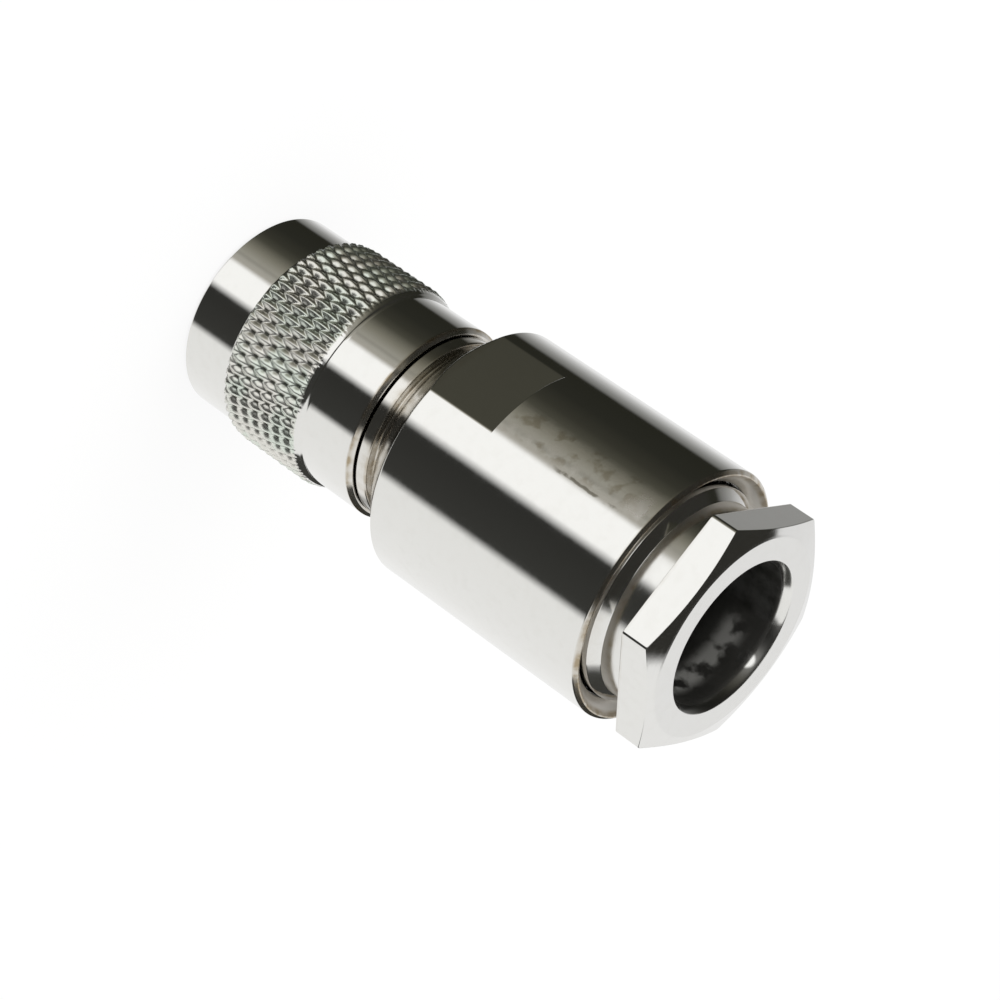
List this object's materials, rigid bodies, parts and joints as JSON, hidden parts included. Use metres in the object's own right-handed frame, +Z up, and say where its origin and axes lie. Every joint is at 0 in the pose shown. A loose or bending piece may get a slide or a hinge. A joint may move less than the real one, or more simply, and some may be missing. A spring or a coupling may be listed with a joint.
{
  "type": "tnc connector",
  "caption": "Straight threaded coaxial plug: knurled coupling nut over a pin contact, turned barrel with wrench flats, and a hex nut that clamps the cable.",
  "frame": {"origin": "centre of the coupling nut's front rim, on the surface that the plug stands on", "axes": "+Z up along the axis from the mating face to the cable entry; the barrel's wrench flats face -Y and +Y; +X across them"},
  "size_m": [0.0186, 0.0186, 0.0434],
  "materials": {
    "bright_nickel": "polished nickel plate on turned brass",
    "gold_plate": "thin gold plate on a turned pin",
    "white_insulator": "waxy white fluoroplastic",
    "black_rubber": "matt moulded rubber"
  },
  "bodies": {
    "plug_body": {"body": "bright_nickel", "spring_ring": "bright_nickel", "face_seal": "black_rubber", "front_insulator": "white_insulator", "rear_insulator": "white_insulator", "centre_contact": "gold_plate", "braid_clamp": "bright_nickel", "cable_seal": "black_rubber"},
    "coupling": {"coupling_nut": "bright_nickel"},
    "clamp_carriage": {"slip_washer": "bright_nickel"},
    "clamp": {"clamp_nut": "bright_nickel"}
  },
  "joints": [
    {"name": "coupling_spin", "type": "hinge", "parent": "plug_body", "child": "coupling", "pos_m": [0, 0, 0.008], "axis": [0, 0, 1], "continuous": true},
    {"name": "clamp_travel", "type": "slide", "parent": "plug_body", "child": "clamp_carriage", "axis": [0, 0, 1], "range_m": [0, 0.00424]},
    {"name": "clamp_turn", "type": "hinge", "parent": "clamp_carriage", "child": "clamp", "pos_m": [0, 0, 0.037], "axis": [0, 0, 1], "range_deg": [0, 1440]}
  ],
  "couplings": [
    {"joint": "clamp_travel", "follows": "clamp_turn", "m_per_rad": 0.00016844}
  ]
}
